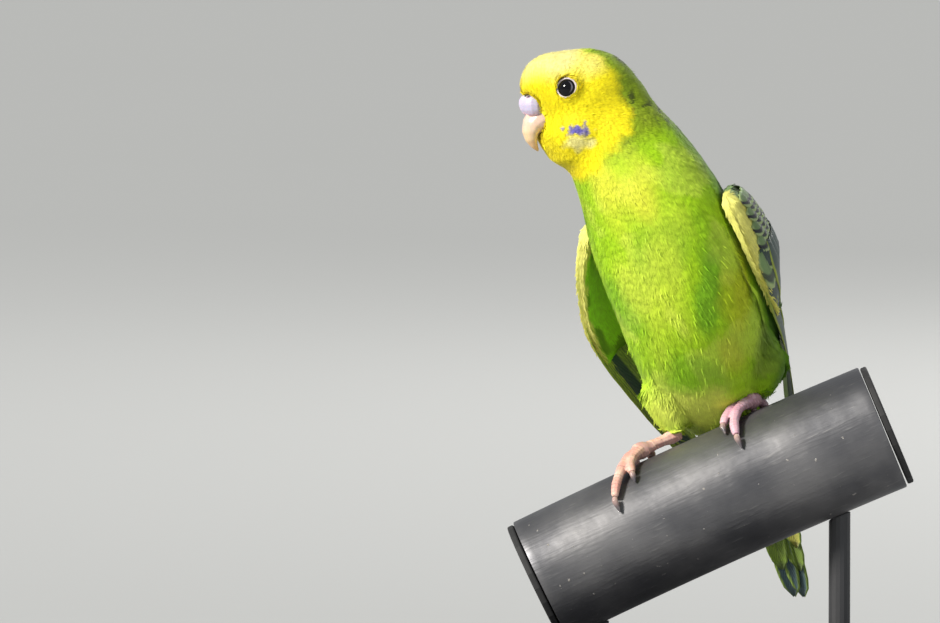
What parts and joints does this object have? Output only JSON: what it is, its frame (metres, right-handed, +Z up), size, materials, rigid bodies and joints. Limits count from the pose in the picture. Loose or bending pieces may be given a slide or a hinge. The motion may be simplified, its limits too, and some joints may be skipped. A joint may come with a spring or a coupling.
{
  "type": "budgerigar",
  "caption": "Life-size budgerigar perched and alert on a short cut length of round tube, held over a flat round base.",
  "frame": {"origin": "centre of the underside of the round base", "axes": "+Z up, +X along the rise of the sloping tube, +Y towards the bird's back and tail; the breast faces -Y and the head looks along -X"},
  "size_m": [0.12, 0.1218, 0.1513],
  "materials": {
    "plumage_yellow": "matt feathers",
    "plumage_green": "matt feathers",
    "flight_feathers": "satin feathers",
    "eye": "wet gloss",
    "horn": "satin horn",
    "cere": "waxy skin",
    "foot_skin": "scaly skin",
    "claw": "satin horn",
    "tube": "worn satin",
    "stand": "satin"
  },
  "bodies": {
    "root": {"bill_lower": "horn", "bill_upper": "horn", "cere": "cere", "claw_left_toe_1": "claw", "claw_left_toe_2": "claw", "claw_left_toe_3": "claw", "claw_left_toe_4": "claw", "claw_right_toe_1": "claw", "claw_right_toe_2": "claw", "claw_right_toe_3": "claw", "claw_right_toe_4": "claw", "eye_left": "eye", "eye_right": "eye", "foot_left": "foot_skin", "foot_right": "foot_skin", "head": "plumage_yellow", "neck": "plumage_green", "perch_plug_high": "tube", "perch_plug_low": "tube", "perch_tube": "tube", "stand_base": "stand", "stand_rod_high": "stand", "stand_rod_low": "stand", "tail": "flight_feathers", "tarsus_left": "foot_skin", "tarsus_right": "foot_skin", "thigh_left": "plumage_green", "thigh_right": "plumage_green", "torso": "plumage_green", "wing_left": "flight_feathers", "wing_right": "flight_feathers"}
  },
  "joints": []
}
